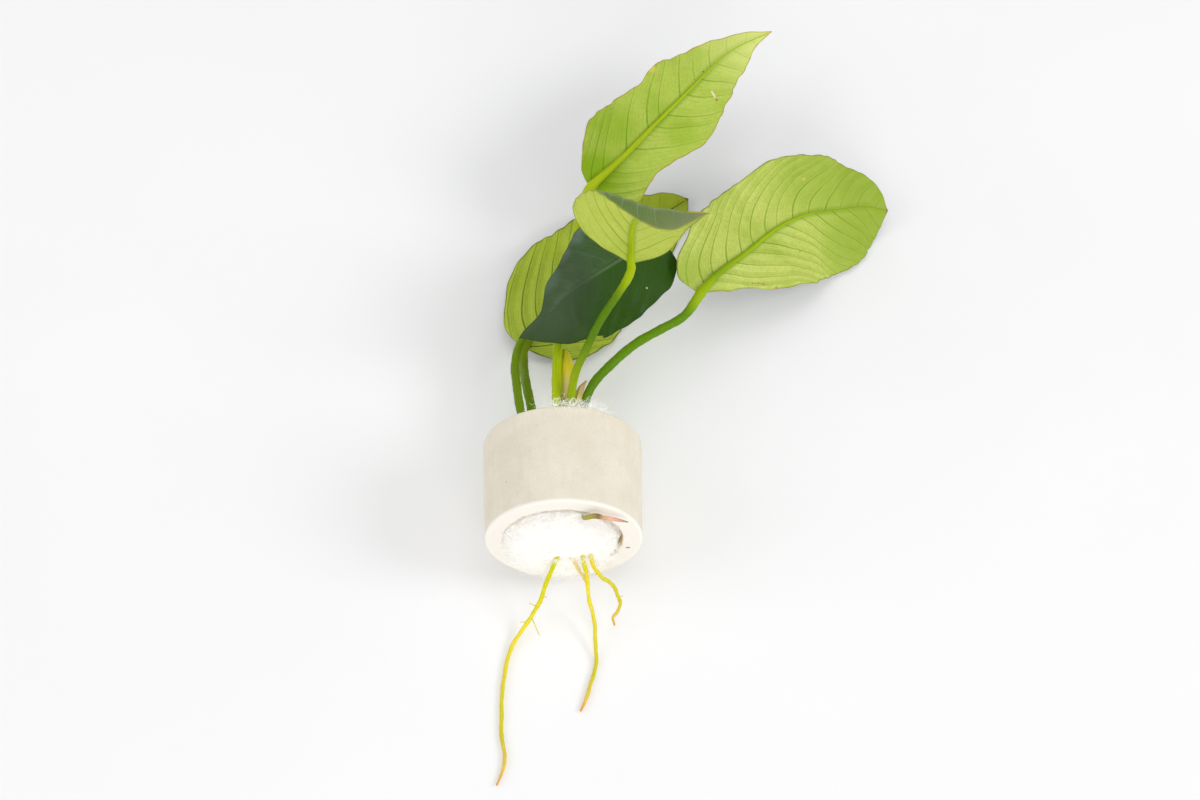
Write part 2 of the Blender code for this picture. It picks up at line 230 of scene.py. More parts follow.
# ---- Ceramic ring
# A short ring of cream clay, pressed, fired unglazed and laid on its side. It widens a little
# towards the leaves. Both rims are rubbed round, and the skin has fine grit, pits and pale blotches.
RING_LENGTH = 33.5
BASE_RADIUS = 24.5
LEAF_END_RADIUS = 25.1
BORE_RADIUS = 18.6
BORE_SHIFT = -0.3
AXIS_HEIGHT = 24.8
PIT_COUNT = 46
ABOVE_TABLE = 0.03


def pick(kind, test):
    """In edit mode, selects the faces or edges that pass a test, and nothing else."""
    bpy.ops.mesh.select_mode(type=kind)
    bpy.ops.mesh.select_all(action="DESELECT")
    shape = bmesh.from_edit_mesh(bpy.context.object.data)
    for part in shape.faces if kind == "FACE" else shape.edges:
        if test(part):
            part.select_set(True)
    shape.select_flush_mode()
    bmesh.update_edit_mesh(bpy.context.object.data)


def corners_of(mesh):
    """The corners of a mesh, one row each."""
    flat = np.empty(len(mesh.vertices) * 3)
    mesh.vertices.foreach_get("co", flat)
    return flat.reshape(-1, 3)


def put_corners(mesh, places):
    """Moves the corners of a mesh, none of them into the table."""
    places = np.array(places, np.float64)
    places[:, 2] = np.maximum(places[:, 2], ABOVE_TABLE * MM)
    mesh.vertices.foreach_set("co", places.ravel())
    mesh.update()


def done(piece, look, slot, *nodes):
    """A finished piece: its finishes, what it stands for, and its body. Its slot argument is not used."""
    piece.data.materials.clear()
    for each in look if isinstance(look, tuple) else (look,):
        piece.data.materials.append(each)
    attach(piece, "root")
    if nodes:
        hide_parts(*nodes)


deselect()
bpy.ops.mesh.primitive_cylinder_add(
    vertices=192, radius=LEAF_END_RADIUS * MM, depth=RING_LENGTH * MM, end_fill_type="NGON",
    location=(0, 0, 0), rotation=(math.pi / 2, 0, 0),
)
ring = bpy.context.object
ring.name = "plant_ring"
bpy.ops.object.transform_apply(location=True, rotation=True, scale=True)
bpy.ops.object.mode_set(mode="EDIT")
pick("FACE", lambda face: abs(face.normal.y) > 0.9)
bpy.ops.mesh.inset(thickness=(LEAF_END_RADIUS - BORE_RADIUS) * MM)
bpy.ops.mesh.bridge_edge_loops()
bpy.ops.mesh.select_all(action="SELECT")
bpy.ops.mesh.normals_make_consistent(inside=False)
pick("EDGE", lambda edge: len(edge.link_faces) == 2 and edge.calc_face_angle(0) > 1)
bpy.ops.mesh.bevel(offset=0.0007, segments=4, affect="EDGES")
pick("EDGE", lambda edge: edge.calc_length() > 0.02)
bpy.ops.mesh.subdivide(number_cuts=50)
pick("EDGE", lambda edge: 0.003 < edge.calc_length() < 0.008)
bpy.ops.mesh.subdivide(number_cuts=8)
bpy.ops.object.mode_set(mode="OBJECT")

places = corners_of(ring.data) * 1000
reach = np.hypot(places[:, 0], places[:, 2])
turn = np.arctan2(places[:, 0], places[:, 2])
wall = (reach - BORE_RADIUS) / (LEAF_END_RADIUS - BORE_RADIUS)
ring_ends, end_radii = (-RING_LENGTH / 2, RING_LENGTH / 2), (BASE_RADIUS, LEAF_END_RADIUS)
outside = np.interp(places[:, 1], ring_ends, end_radii)
reach = BORE_RADIUS + wall * (outside - BORE_RADIUS)
places[:, 0] = np.sin(turn) * reach + BORE_SHIFT * (1 - wall)
places[:, 2] = np.cos(turn) * reach + outside
rng = random.Random(4)
pits = []
for _ in range(PIT_COUNT):
    angle = rng.uniform(0, 2 * math.pi)
    centre = Vector((math.sin(angle) * 25, rng.uniform(-16, 16), AXIS_HEIGHT + math.cos(angle) * 25))
    pits.append((centre, rng.uniform(0.35, 0.8), rng.uniform(0.05, 0.16)))
for index, point in enumerate(places):
    here = Vector(point)
    swell = noise.noise(here * 0.11) * 0.14 + noise.noise(here * 0.45) * 0.06
    swell += noise.noise(here * 1.6) * 0.03
    for centre, radius, depth in pits:
        if (here - centre).length_squared < radius * radius:
            swell -= depth * (1 - (here - centre).length / radius)
    places[index] += np.array(ring.data.vertices[index].normal) * swell
put_corners(ring.data, metres(places))
deselect()
ring.select_set(True)
bpy.ops.object.shade_smooth_by_angle(angle=math.radians(50))

clay, shader, place = new_finish("fired_clay", Roughness=0.85, Specular_IOR_Level=0.25)
side_part, length_part, height_part = place.parts()
blotches = place.grain(95, 4, 0.6)
streaks = place.stretched(1, 0.16, 1).grain(420, 3, 0.6)
grit = place.grain(2300, 2, 0.6)
speckle = place.grain(1100, 2, 0.7)
colour = blotches.between(0.3, 0.72).mix((228, 220, 201), (236, 229, 213))
colour = (streaks.between(0.45, 0.75) * 0.25).mix(colour, (220, 211, 190))
colour = (grit.between(0.5, 0.75) * 0.4).mix(colour, (212, 202, 180))
colour = (speckle.between(0.68, 0.76) * 0.4).mix(colour, (190, 176, 148))
bore_line = metres((BORE_SHIFT, 0, AXIS_HEIGHT))
across = side_part - bore_line[0]
up = height_part - bore_line[2]
square = across * across + up * up
from_axis = square.maths("POWER", square, 0.5)
# Painted light: the base end's face, turned to the front lamp, is painted lighter than the rest of the
# clay.
base_face_light = 1 - length_part.between(metres((0, -16.4, 0))[1], metres((0, -15.2, 0))[1])
colour = (base_face_light * 0.9).mix(colour, (251, 246, 238))
# Painted shade: inside the bore, shaded behind the wool, the clay is painted brown-beige, and darker brown
# in blotches at the bore's edge where the gap along the wool lies in shade.
in_bore = 1 - from_axis.between(0.01868, 0.01895)
bore_shade_grain = place.grain(260, 3, 0.65)
colour = (in_bore * (0.55 + 0.45 * bore_shade_grain.between(0.35, 0.6))).mix(colour, (214, 190, 136))
bore_rim_shade = (1 - from_axis.between(0.0188, 0.0199)) * bore_shade_grain.between(0.5, 0.62) * 0.55
colour = bore_rim_shade.mix(colour, (196, 168, 112))
for spot_at, size, spot_tone in (
    ((-17.2, -5.6, 41.9), 0.55 * MM, (196, 150, 134)),
    ((-13.6, -11.2, 44.6), 0.6 * MM, (150, 140, 62)),
    ((-12.2, -6.6, 45.9), 0.3 * MM, (186, 170, 140)),
    ((20.3, -16.7, 19.2), 0.6 * MM, (150, 108, 62)),
    ((19.7, -16.7, 19.3), 0.5 * MM, (120, 84, 50)),
):
    mark = place.spot(tuple(metres(spot_at)), size * 0.5, size)
    colour = (mark * 0.85).mix(colour, spot_tone)
coat(shader, colour, grit * 0.6 + speckle * 0.8 + blotches * 0.5, 0.55, 0.00025)
done(ring, clay, "ceramic", "ceramic_ring")

# ---- Filter wool
# White polyester filter wool, pulled off a sheet and pushed into the ring round the rhizome. It
# bulges over the lower rim and shows a thin gap at the top and right. Loose fibres stand off it, and
# light soaks through it, which a faint glow of its own stands for.
WOOL_SECTIONS = (
    # place along the ring, then the wool's reach from the middle: up, sideways and down
    (-20.5, 3, 3, 5), (-20.2, 8, 8, 11.5), (-19.4, 12.9, 13.2, 17), (-18.3, 15.8, 15.9, 19.9),
    (-17.3, 17, 16.9, 20.4), (-16.9, 17.4, 17.2, 18.4), (-15.4, 17.9, 17.6, 18.4),
    (-13.6, 18.3, 18.5, 18.5), (-6, 18.3, 18.3, 18.4), (14, 18.3, 18.3, 18.4),
    (17.3, 17.6, 16.8, 16.8), (19.2, 16, 13.4, 12.8), (20.6, 12.6, 8, 7), (21.2, 6, 4, 3),
)
FIBRE_THICKNESS = 0.045


def smooth(rows, knots, at):
    """The rows read at the places `at`, on a smooth curve that passes through each row at its knot."""
    rows, knots, at = (np.array(values, float) for values in (rows, knots, at))
    slopes = np.gradient(rows, knots, axis=0)
    start = np.clip(np.searchsorted(knots, at, side="right") - 1, 0, len(knots) - 2)
    span = knots[start + 1] - knots[start]
    t = (at - knots[start]) / span
    if rows.ndim == 2:
        t, span = t[:, None], span[:, None]
    return (
        (1 + 2 * t) * (1 - t) ** 2 * rows[start]
        + t * (1 - t) ** 2 * span * slopes[start]
        + t * t * (3 - 2 * t) * rows[start + 1]
        - t * t * (1 - t) * span * slopes[start + 1]
    )


def closed_piece(name, corners, faces):
    """A new piece from corners in millimetres and closed faces, all of them turned outwards."""
    mesh = bpy.data.meshes.new(name)
    mesh.from_pydata(metres(corners).tolist(), [], faces)
    shape = bmesh.new()
    shape.from_mesh(mesh)
    bmesh.ops.recalc_face_normals(shape, faces=shape.faces)
    shape.to_mesh(mesh)
    shape.free()
    piece = bpy.data.objects.new(name, mesh)
    bpy.context.scene.collection.objects.link(piece)
    return piece


def skin(name, sections):
    """A closed, smooth-shaded piece through rings of equally many corners."""
    rings, sides = len(sections), len(sections[0])
    corners = np.concatenate([np.concatenate(sections), [sections[0].mean(0), sections[-1].mean(0)]])
    faces = []
    for ring_number in range(rings - 1):
        for side in range(sides):
            after = (side + 1) % sides
            low, high = ring_number * sides, (ring_number + 1) * sides
            faces.append((low + side, low + after, high + after, high + side))
    for side in range(sides):
        after, last = (side + 1) % sides, (rings - 1) * sides
        faces.append((rings * sides, after, side))
        faces.append((rings * sides + 1, last + side, last + after))
    piece = closed_piece(name, corners, faces)
    piece.data.shade_smooth()
    return piece


knots = [section[0] for section in WOOL_SECTIONS]
stops = np.concatenate(
    [np.linspace(-20.5, -16, 44), np.linspace(-15.6, 15, 26), np.linspace(15.5, 21.2, 34)]
)
reaches = smooth([section[1:] for section in WOOL_SECTIONS], knots, stops)
around = np.linspace(0, 2 * math.pi, 220, endpoint=False)
sections = []
for stop, (top, side, bottom) in zip(stops, reaches):
    sine, cosine = np.sin(around), np.cos(around)
    radius = np.where(cosine > 0, top, bottom) * cosine ** 2 + side * sine ** 2
    radius = np.maximum(radius, 0.4)
    middle = np.interp(stop, ring_ends, end_radii)
    loose = np.clip((abs(stop) - 15.5) / 2, 0, 1)
    section = []
    for x, y, r in zip(sine, cosine, radius):
        here = Vector((x * r, stop, y * r))
        tuft = noise.noise(here * 0.33) * 0.4 + noise.noise(here * 0.9) * 0.28
        tuft += noise.noise(here * 2.4) * 0.2
        outward = Vector((x, -0.8 if stop < 0 else 0.8, y)) * tuft * loose
        aside = BORE_SHIFT - 1.1 * min(max((-stop - 13.6) / 2, 0), 1)
        section.append(
            (aside + here.x + outward.x, stop + outward.y * 0.8, middle + here.z + outward.z)
        )
    sections.append(np.array(section))
wool = skin("wool_packing", sections)
fluff, shader, place = new_finish(
    "polyester_wool", Roughness=0.95, Specular_IOR_Level=0.15, Emission_Color=(1, 0.96, 0.9, 1),
    Emission_Strength=0.05,
)
tufts = place.grain(520, 3, 0.6)
threads = place.stretched(1, 0.5, 1).grain(1500, 3, 0.7)
colour = tufts.between(0.3, 0.62).mix((250, 248, 243), (255, 254, 252))
colour = (threads.between(0.55, 0.72) * 0.2).mix(colour, (240, 237, 228))
coat(shader, colour, tufts + threads * 0.7, 0.35, 0.0003)
done(wool, fluff, "wool", "wool_plug")


def fibres(name, starts, ways, outs, lengths, thickness, seed):
    """Loose curved fibres of three sides each, from their starts, the ways they run and bow."""
    dice = np.random.default_rng(seed)
    count, steps = len(starts), np.linspace(0, 1, 5)
    beside = np.cross(ways, outs)
    bow = dice.uniform(0.1, 0.42, count)[:, None, None]
    sway = dice.uniform(-0.35, 0.35, count)[:, None, None]
    run = steps[None, :, None]
    line = (starts[:, None] + (ways[:, None] * run + outs[:, None] * np.sin(run * math.pi) * bow
            + beside[:, None] * np.sin(run * 5) * sway) * lengths[:, None, None])
    corners = []
    for angle in (0, 2.1, 4.2):
        corners.append(line + (outs * math.cos(angle) + beside * math.sin(angle))[:, None] * thickness)
    corners = np.stack(corners, axis=2).reshape(-1, 3)
    faces = []
    for first in range(0, count * 15, 15):
        for low in range(first, first + 12, 3):
            faces += [(low, low + 1, low + 4, low + 3), (low + 1, low + 2, low + 5, low + 4),
                      (low + 2, low, low + 3, low + 5)]
        faces += [(first + 2, first + 1, first), (first + 12, first + 13, first + 14)]
    return closed_piece(name, corners, faces)


def unit(rows):
    """The same directions, each one long."""
    return rows / np.linalg.norm(rows, axis=-1, keepdims=True)


skin_places = (corners_of(wool.data) - RING_FOOT) * 1000
skin_normals = np.array([corner.normal for corner in wool.data.vertices])
dice = np.random.default_rng(11)
for name, belongs, count, spread_out in (
    ("wool_fibres_base", skin_places[:, 1] < -16.2, 4600, 0.35),
    ("wool_fibres_leaf_end", skin_places[:, 1] > 16.2, 3000, 0.55),
):
    chosen = dice.choice(np.flatnonzero(belongs), count)
    outs = unit(skin_normals[chosen])
    along_skin = np.cross(outs, unit(dice.normal(size=(count, 3))))
    ways = unit(along_skin + outs * dice.uniform(0, spread_out, (count, 1)))
    lengths = dice.uniform(0.9, 3.2, count)
    strands = fibres(name, skin_places[chosen] - outs * 0.15, ways, outs, lengths, FIBRE_THICKNESS, 5)
    done(strands, fluff, "wool")

# Tufts cling to the feet of the stalks, and a few fibres lie over the ring's leaf end.
CLINGING, ON_RIM = 1400, 160
drift = dice.uniform(0, 1, CLINGING) ** 1.2
aside = dice.normal(4, 5.5, CLINGING)
clinging = np.stack([aside, 20.5 + 11.6 * drift, 25 + 3 * drift + dice.normal(0, 1.4, CLINGING)], axis=1)
rim_x = dice.uniform(-3, 15, ON_RIM)
rim_height = LEAF_END_RADIUS + np.sqrt(LEAF_END_RADIUS ** 2 - rim_x ** 2)
rim = np.stack([rim_x, dice.normal(17, 0.5, ON_RIM), rim_height], axis=1)
starts = np.concatenate([clinging, rim])
outs = unit(dice.normal(size=(len(starts), 3)))
ways = unit(np.cross(outs, unit(dice.normal(size=(len(starts), 3)))) + (0, 0.1, 0))
lengths = dice.uniform(0.9, 2.6, len(starts))
strands = fibres("wool_fibres_stalks", starts, ways, outs, lengths, FIBRE_THICKNESS, 8)
done(strands, fluff, "wool")

# ---- Rhizome
# The plant's creeping stem, a thick green rod that lies across the ring inside the wool. Its leaf
# scars ring it every few millimetres. Only its shape in the frame matters, as the wool hides it.
bark, shader, place = new_finish("rhizome_bark", Roughness=0.6)
rings = place.stretched(1, 0.1, 0.1).grain(420, 3)
coat(shader, rings.between(0.35, 0.65).mix((92, 112, 34), (140, 150, 70)), rings, 0.5, 0.0004)
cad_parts["rhizome"].data.materials.clear()
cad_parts["rhizome"].data.materials.append(bark)

# ---- Leaves
# Leathery anubias leaves. A raised midrib runs under each blade, side veins leave it at an angle and
# sweep to the tip, and fine veins run between them. The underside is pale, the upper side dark.
WIDTH_STATIONS = (0, 0.1, 0.2, 0.3, 0.4, 0.5, 0.6, 0.7, 0.8, 0.9, 0.96, 1)
BLADE_THICKNESS = 0.42
LOBE_REACH = 10
LEAST_HALF = 0.12
COURSE_POINTS = 400
LEAVES = {
    # Each blade: its midrib from joint to tip, the way its upper side faces, its half widths on both
    # sides, how its halves rise in degrees, where its side veins start, and how they sweep.
    "leaf_top": dict(
        midrib=((10.5, 114, 30), (22, 123.5, 34), (32, 134, 36.5), (42.5, 146, 37), (60, 167.5, 34),
                (73.5, 178, 30)),
        face=(0, 0.52, -0.85),
        right=(4, 13.5, 17, 15.5, 13.6, 14.5, 12, 8.5, 5.5, 3.2, 1.4, 0),
        left=(12, 14, 12, 13.4, 16.2, 15.3, 12.5, 10, 8, 3, 1, 0),
        rise=(6, 6), lobe=1,
        veins=(-30, -24, -17, -12, -7, -2, 3, 8, 19, 30, 36, 47, 55, 64, 73, 82, 92, 104),
        wave=0.5, sweep=((0.75, 0.05), (0.6, 0.05)), rounding=0.025,
    ),
    "leaf_right": dict(
        midrib=((45.5, 72.5, 27), (51, 80, 26.5), (61.5, 90.5, 24), (72.5, 102, 21.5), (83, 110, 18),
                (94, 114.5, 13.75), (104.5, 118.5, 9.65), (111.5, 119, 6.75)),
        face=(0, 0.52, -0.85),
        right=(11, 14.5, 19, 20.5, 20, 20.5, 21, 19.5, 17, 11, 5.5, 0),
        left=(0.5, 6, 10, 15.5, 20, 22, 22.5, 22, 20, 15.5, 13, 0),
        rise=(4, 4), lobe=4,
        veins=(-34, -26, -18, -12, -6, 0, 6, 11, 18, 25, 31, 38, 43, 50, 57, 64, 70, 77, 84, 92),
        wave=0.5, sweep=((0.35, 0.06), (1.05, 0.025)), rounding=0.09,
    ),
    "leaf_back": dict(
        midrib=((-12.5, 67, 5), (-7.5, 75, 5.2), (12.5, 96.5, 4.2), (33, 119.5, 2.4), (44, 128.5, 1.4)),
        face=(0, 0.22, -0.97),
        right=(8, 13, 18.7, 22, 22, 21, 19.3, 16.8, 13.2, 8.3, 5, 0),
        left=(13, 18, 20.5, 21, 19, 17.5, 15.5, 13.8, 12, 8, 4, 0),
        rise=(3, 3), lobe=0,
        veins=(-36, -28, -20, -13, -6, 0, 7, 13, 20, 28, 35, 43, 50, 58, 66, 74, 82, 92),
        wave=0.25, sweep=((0.6, 0.03), (0.6, 0.03)), rounding=0.06,
    ),
    "leaf_dark": dict(
        midrib=((33, 93.5, 31), (20, 82, 34), (12.5, 76, 35), (1, 66, 36), (-4.5, 59.5, 35),
                (-13.5, 54, 31)),
        face=(0, -0.52, 0.85),
        right=(4, 13, 15.6, 16.5, 16.3, 13, 9.5, 7, 3, 1.5, 1, 0),
        left=(10, 15, 17, 18.4, 19.3, 19.5, 19.3, 18, 13.5, 6.5, 2.5, 0),
        rise=(8, 8), lobe=0,
        veins=(-30, -22, -14, -7, 0, 7, 14, 21, 28, 35, 42, 49, 56, 64, 74),
        wave=0.4, sweep=((0.6, 0.03), (0.6, 0.03)), rounding=0.015,
    ),
}
FOLDED_LEAF = dict(
    midrib=((23, 71, 48), (23, 72, 58), (23.5, 72, 68.5), (26.5, 70.5, 77.5), (32.5, 67, 84),
            (39, 62.5, 88.5), (45.5, 59, 92.5)),
    right_edge=((22.4, 71, 48), (9, 75.5, 57.5), (4.5, 79, 69), (11, 76.5, 81), (23.5, 63, 84.5),
                (34, 56.5, 87.5), (45.2, 58.7, 92.4)),
    left_edge=((23.6, 71, 48), (32.5, 70, 54), (37.5, 70, 61.5), (39.5, 68, 69.5), (41, 64.5, 77.5),
               (43, 61.5, 85), (45.8, 59.3, 92.6)),
    arch=1.5,
    veins=(-18, -12, -8, -4, 0, 5, 10, 15, 20, 26, 32, 38, 45, 55),
    wave=0.2, sweep=((0.7, 0.03), (0.7, 0.03)),
)


def distances(line):
    """How far along a line of points each of them is."""
    steps = np.linalg.norm(np.diff(np.array(line, float), axis=0), axis=1)
    return np.concatenate(([0], np.cumsum(steps)))


def path(points, count):
    """Points spaced evenly along a smooth curve through the given ones."""
    along = distances(points)
    return smooth(points, along, np.linspace(0, along[-1], count))


def spread(values, count):
    """Values given evenly from end to end, read at count places."""
    return smooth(values, np.linspace(0, 1, len(values)), np.linspace(0, 1, count))


def read_rows(line, steps, at):
    """The rows of a line, each known at one of the steps, read at other places along it."""
    return np.stack([np.interp(at, steps, line[:, axis]) for axis in range(3)], axis=1)


def keep(piece, name, rows):
    """Keeps three numbers at each corner of a piece's mesh, for its finish to read."""
    layer = piece.data.attributes.new(name, "FLOAT_VECTOR", "POINT")
    layer.data.foreach_set("vector", np.array(rows, np.float32).ravel())


def open_blade(leaf, place, along):
    """Upper side of a blade that spreads to both sides of its midrib, its half width and length."""
    steps = np.linspace(0, 1, COURSE_POINTS)
    middle = path(leaf["midrib"], COURSE_POINTS)
    ahead = unit(np.gradient(middle, axis=0))
    aside = unit(np.cross(ahead, leaf["face"]))
    above = np.cross(aside, ahead)
    length = distances(middle)[-1]
    centre, ahead, aside, above = (
        read_rows(line, steps, along) for line in (middle, ahead, aside, above)
    )
    right = smooth(leaf["right"], WIDTH_STATIONS, along)
    left = smooth(leaf["left"], WIDTH_STATIONS, along)
    half = np.maximum(np.where(place > 0, right, left), LEAST_HALF)
    nibble = np.sin(along * length * 0.9 + place) * 0.12
    nibble += np.sin(along * length * 0.37 + 2 * place) * 0.2
    half = np.maximum(half + nibble * np.clip(half / 6, 0, 1), LEAST_HALF)
    round_in = np.clip(1 - along / leaf["rounding"], 0, 1)
    half = np.maximum(half * np.sqrt(np.clip(1 - 0.98 * round_in ** 2, 0, 1)), LEAST_HALF)
    angle = np.radians(np.where(place > 0, leaf["rise"][0], leaf["rise"][1]))
    width = half * np.abs(place)
    back = leaf["lobe"] * np.clip(1 - along / 0.15, 0, 1) ** 2
    points = (
        centre + aside * (np.sign(place) * width * np.cos(angle))[:, None]
        + above * (width * np.sin(angle))[:, None]
        - ahead * (back * (width / LOBE_REACH) ** 2)[:, None]
    )
    return points, half, length


def folded_blade(leaf, place, along):
    """Upper side of a blade between two edges and a midrib, its half width and length."""
    steps = np.linspace(0, 1, COURSE_POINTS)
    middle, right, left = (
        spread(leaf[name], COURSE_POINTS) for name in ("midrib", "right_edge", "left_edge")
    )
    above = unit(np.cross(right - left, np.gradient(middle, axis=0)))
    across = np.linalg.norm(right - left, axis=1)
    swell = np.interp(along, steps, leaf["arch"] * across / across.max())
    middle_at, right_at, left_at, above_at = (
        read_rows(line, steps, along) for line in (middle, right, left, above)
    )
    edge = np.where((place > 0)[:, None], right_at, left_at)
    half = np.maximum(np.linalg.norm(edge - middle_at, axis=1), LEAST_HALF)
    lift = 4 * swell * np.abs(place) * (1 - np.abs(place))
    points = middle_at + (edge - middle_at) * np.abs(place)[:, None] + above_at * lift[:, None]
    return points, half, distances(middle)[-1]


def vein_course(leaf, length, along, aside):
    """How far along the midrib the side vein through a place starts, and that vein's number."""
    reach = np.abs(aside)
    (steep, curl), (other_steep, other_curl) = leaf["sweep"]
    near_side = steep * reach + curl * reach ** 2
    far_side = other_steep * reach + other_curl * reach ** 2
    start = along * length - np.where(aside > 0, near_side - 2.6, far_side)
    return start, np.interp(start, leaf["veins"], np.arange(len(leaf["veins"])))


def make_blade(name, leaf, shape_of, columns, rows, looks, quilted, slot, *nodes):
    """A leaf blade: a grid laid on its surface, quilted between the veins, waved at its margin."""
    deselect()
    bpy.ops.mesh.primitive_grid_add(
        x_subdivisions=columns, y_subdivisions=rows, size=2, location=(0, 0, 0),
    )
    blade = bpy.context.object
    blade.name = name
    flat = corners_of(blade.data)
    place = np.sign(flat[:, 0]) * np.abs(flat[:, 0]) ** 1.15
    along = (flat[:, 1] + 1) / 2
    points, half, length = shape_of(leaf, place, along)
    aside = place * half
    start, number = vein_course(leaf, length, along, aside)
    off_vein = np.abs(number - np.round(number))
    put_corners(blade.data, points)
    normals = np.array([corner.normal for corner in blade.data.vertices])
    wide = np.clip(half / 8, 0, 1)
    quilt = quilted * np.cos(off_vein * 2 * math.pi) * np.clip(np.abs(aside) / 3, 0, 1) * wide
    groove = 0.28 * np.exp(-(aside / 0.8) ** 2) * np.clip(1.2 - along, 0, 1)
    wave = leaf["wave"] * np.abs(place) ** 3 * (
        np.sin(along * length * 0.33 + 1.7 * np.sign(place)) + 0.6 * np.sin(along * length * 0.71 + 0.4)
    ) * wide
    put_corners(blade.data, metres(points + normals * (wave - quilt - groove)[:, None]))
    gap = np.interp(start, leaf["veins"][:-1], np.diff(leaf["veins"]))
    margin = np.minimum(half * (1 - np.abs(place)), length * (1 - along) + 0.2 * half)
    other_half = np.where(aside > 0, 0, 60)
    keep(blade, "vein_map", np.stack([number + other_half, gap, place], axis=1))
    keep(blade, "blade_map", np.stack([along, margin, place], axis=1))
    keep(blade, "flat_map", np.stack([aside, along * length, np.zeros(len(aside))], axis=1))
    thicken = blade.modifiers.new("thicken", "SOLIDIFY")
    thicken.thickness = BLADE_THICKNESS * MM
    thicken.offset = -1
    thicken.material_offset = 1
    thicken.material_offset_rim = 1
    blade.data.materials.append(looks[0])
    blade.data.materials.append(looks[1])
    bpy.ops.object.modifier_apply(modifier="thicken")
    put_corners(blade.data, corners_of(blade.data))
    bpy.ops.object.shade_smooth()
    kept_faces = [face.material_index for face in blade.data.polygons]
    done(blade, looks, slot, *nodes)
    blade.data.polygons.foreach_set("material_index", kept_faces)


def blade_finish(name, pale, rich, vein, margin_tone, tip_tone, seed, marks_and_sheen=(), gloss=0.45, midrib=None,
                 quiet=1, shine=0.16, richer=()):
    """Leaf skin: pale and rich green patches, side and fine veins, painted shade beside the midrib, a thin
    margin, small marks and painted sheen.
    """
    look, shader, place = new_finish(name, Specular_IOR_Level=shine)
    number, gap, across = place.kept("vein_map").parts()
    along, rim, _ = place.kept("blade_map").parts()
    flat = place.kept("flat_map")
    aside = flat.parts()[0]
    cloud = place.node("VectorMath", {"operation": "ADD"}, {0: place, 1: (seed, seed * 0.3, 0)})
    drift = cloud.grain(60, 3)
    wobble = number + (drift - 0.5) * 0.25
    shifted = wobble + 0.5
    apart = abs(shifted.maths("FRACT", shifted) - 0.5) * gap
    own_number = shifted.maths("FLOOR", shifted)
    strength = place.node("TexWhiteNoise", {"noise_dimensions": "1D"}, {"W": own_number})
    side_vein = (1 - apart.between(0.1, 0.46)) * (1 - 0.6 * abs(across)) * (0.45 + 0.75 * strength)
    fade = cloud.grain(130, 2).between(0.25, 0.6)
    fine_shifted = wobble * 5 + (cloud.grain(240, 1) - 0.5) * 0.5 + 0.5
    fine_apart = abs(fine_shifted.maths("FRACT", fine_shifted) - 0.5) * gap * 0.2
    broken = cloud.grain(300, 1).between(0.4, 0.65)
    fine_vein = (1 - fine_apart.between(0.03, 0.2)) * (0.2 + 0.8 * broken)
    patches = cloud.grain(70, 3, 0.55).between(0.46, 0.7) * 0.45
    for centre, size, amount in richer:
        patches = patches.maths("MAXIMUM", patches, flat.spot((*centre, 0), size * 0.2, size) * amount)
    mottle = cloud.grain(900, 2, 0.6)
    cells = cloud.grain(2600, 2, 0.6)
    colour = patches.mix(pale, rich)
    colour = (mottle.between(0.3, 0.75) * 0.3).mix(colour, rich)
    colour = (cells.between(0.45, 0.7) * 0.18 * quiet).mix(colour, vein)
    colour = (fine_vein * 0.34 * quiet).mix(colour, vein)
    colour = (side_vein * (0.6 + 0.4 * fade) * quiet).mix(colour, vein)
    # Painted shade: darker along both sides of the raised midrib, where it shades the blade.
    rib_shade = 1 - abs(aside).between(0.5, 1.9)
    colour = (rib_shade * 0.5 * quiet).mix(colour, vein)
    if midrib:
        rib = 1 - abs(aside).between(0.25, 0.65)
        colour = (rib * 0.8).mix(colour, midrib)
    colour = (along.between(0.55, 1.0) * 0.8).mix(colour, tip_tone)
    near_rim = 1 - rim.between(0.12, 0.55)
    colour = (near_rim * (0.3 + 0.6 * fade)).mix(colour, margin_tone)
    # Small marks, and the painted sheen of leaves that are given it.
    for centre, size, spot_tone in marks_and_sheen:
        colour = (flat.spot((*centre, 0), size * 0.45, size) * 0.85).mix(colour, spot_tone)
    (gloss + 0.16 * (mottle - 0.5) + 0.1 * patches).into(shader, "Roughness")
    height = side_vein * 0.8 + fine_vein * 0.35 + cells * 0.25 + mottle * 0.3
    coat(shader, colour, height, 0.5, 0.00022)
    return look


DARK_RIM = (40, 56, 8)
upper_side = blade_finish(
    "leaf_upper_side", (50, 80, 26), (62, 94, 16), (84, 116, 52), DARK_RIM,
    (70, 92, 34), 3.1,
    gloss=0.34, midrib=(108, 138, 68), quiet=0.45, shine=0.42,
)
# The dark leaf's upper side. The large grey-green patches on its left half and along its left edge are
# painted sheen, a painted reflection of the soft lamps on its glossy skin.
dark_upper_side = blade_finish(
    "leaf_dark_upper_side", (40, 76, 4), (48, 88, 0), (60, 92, 26), DARK_RIM,
    (52, 78, 20), 1.7,
    marks_and_sheen=(((8, 46), 26, (60, 80, 52)), ((-12.5, 16.4), 0.4, (206, 214, 180)),
           ((16.5, 20), 5, (80, 100, 80)), ((16, 28), 5.5, (86, 104, 88)),
           ((14, 36), 6, (84, 102, 88)), ((9, 43), 6, (78, 98, 80))),
    gloss=0.38, midrib=(84, 108, 70), quiet=0.35, shine=0.2,
)
folded_upper_side = blade_finish(
    "leaf_folded_upper_side", (94, 122, 46), (78, 108, 28), (138, 158, 104), (150, 150, 70),
    (132, 142, 96), 4.4, gloss=0.32, quiet=0.8, shine=0.4,
    marks_and_sheen=(((0, 57.6), 3, (158, 132, 104)),),
)
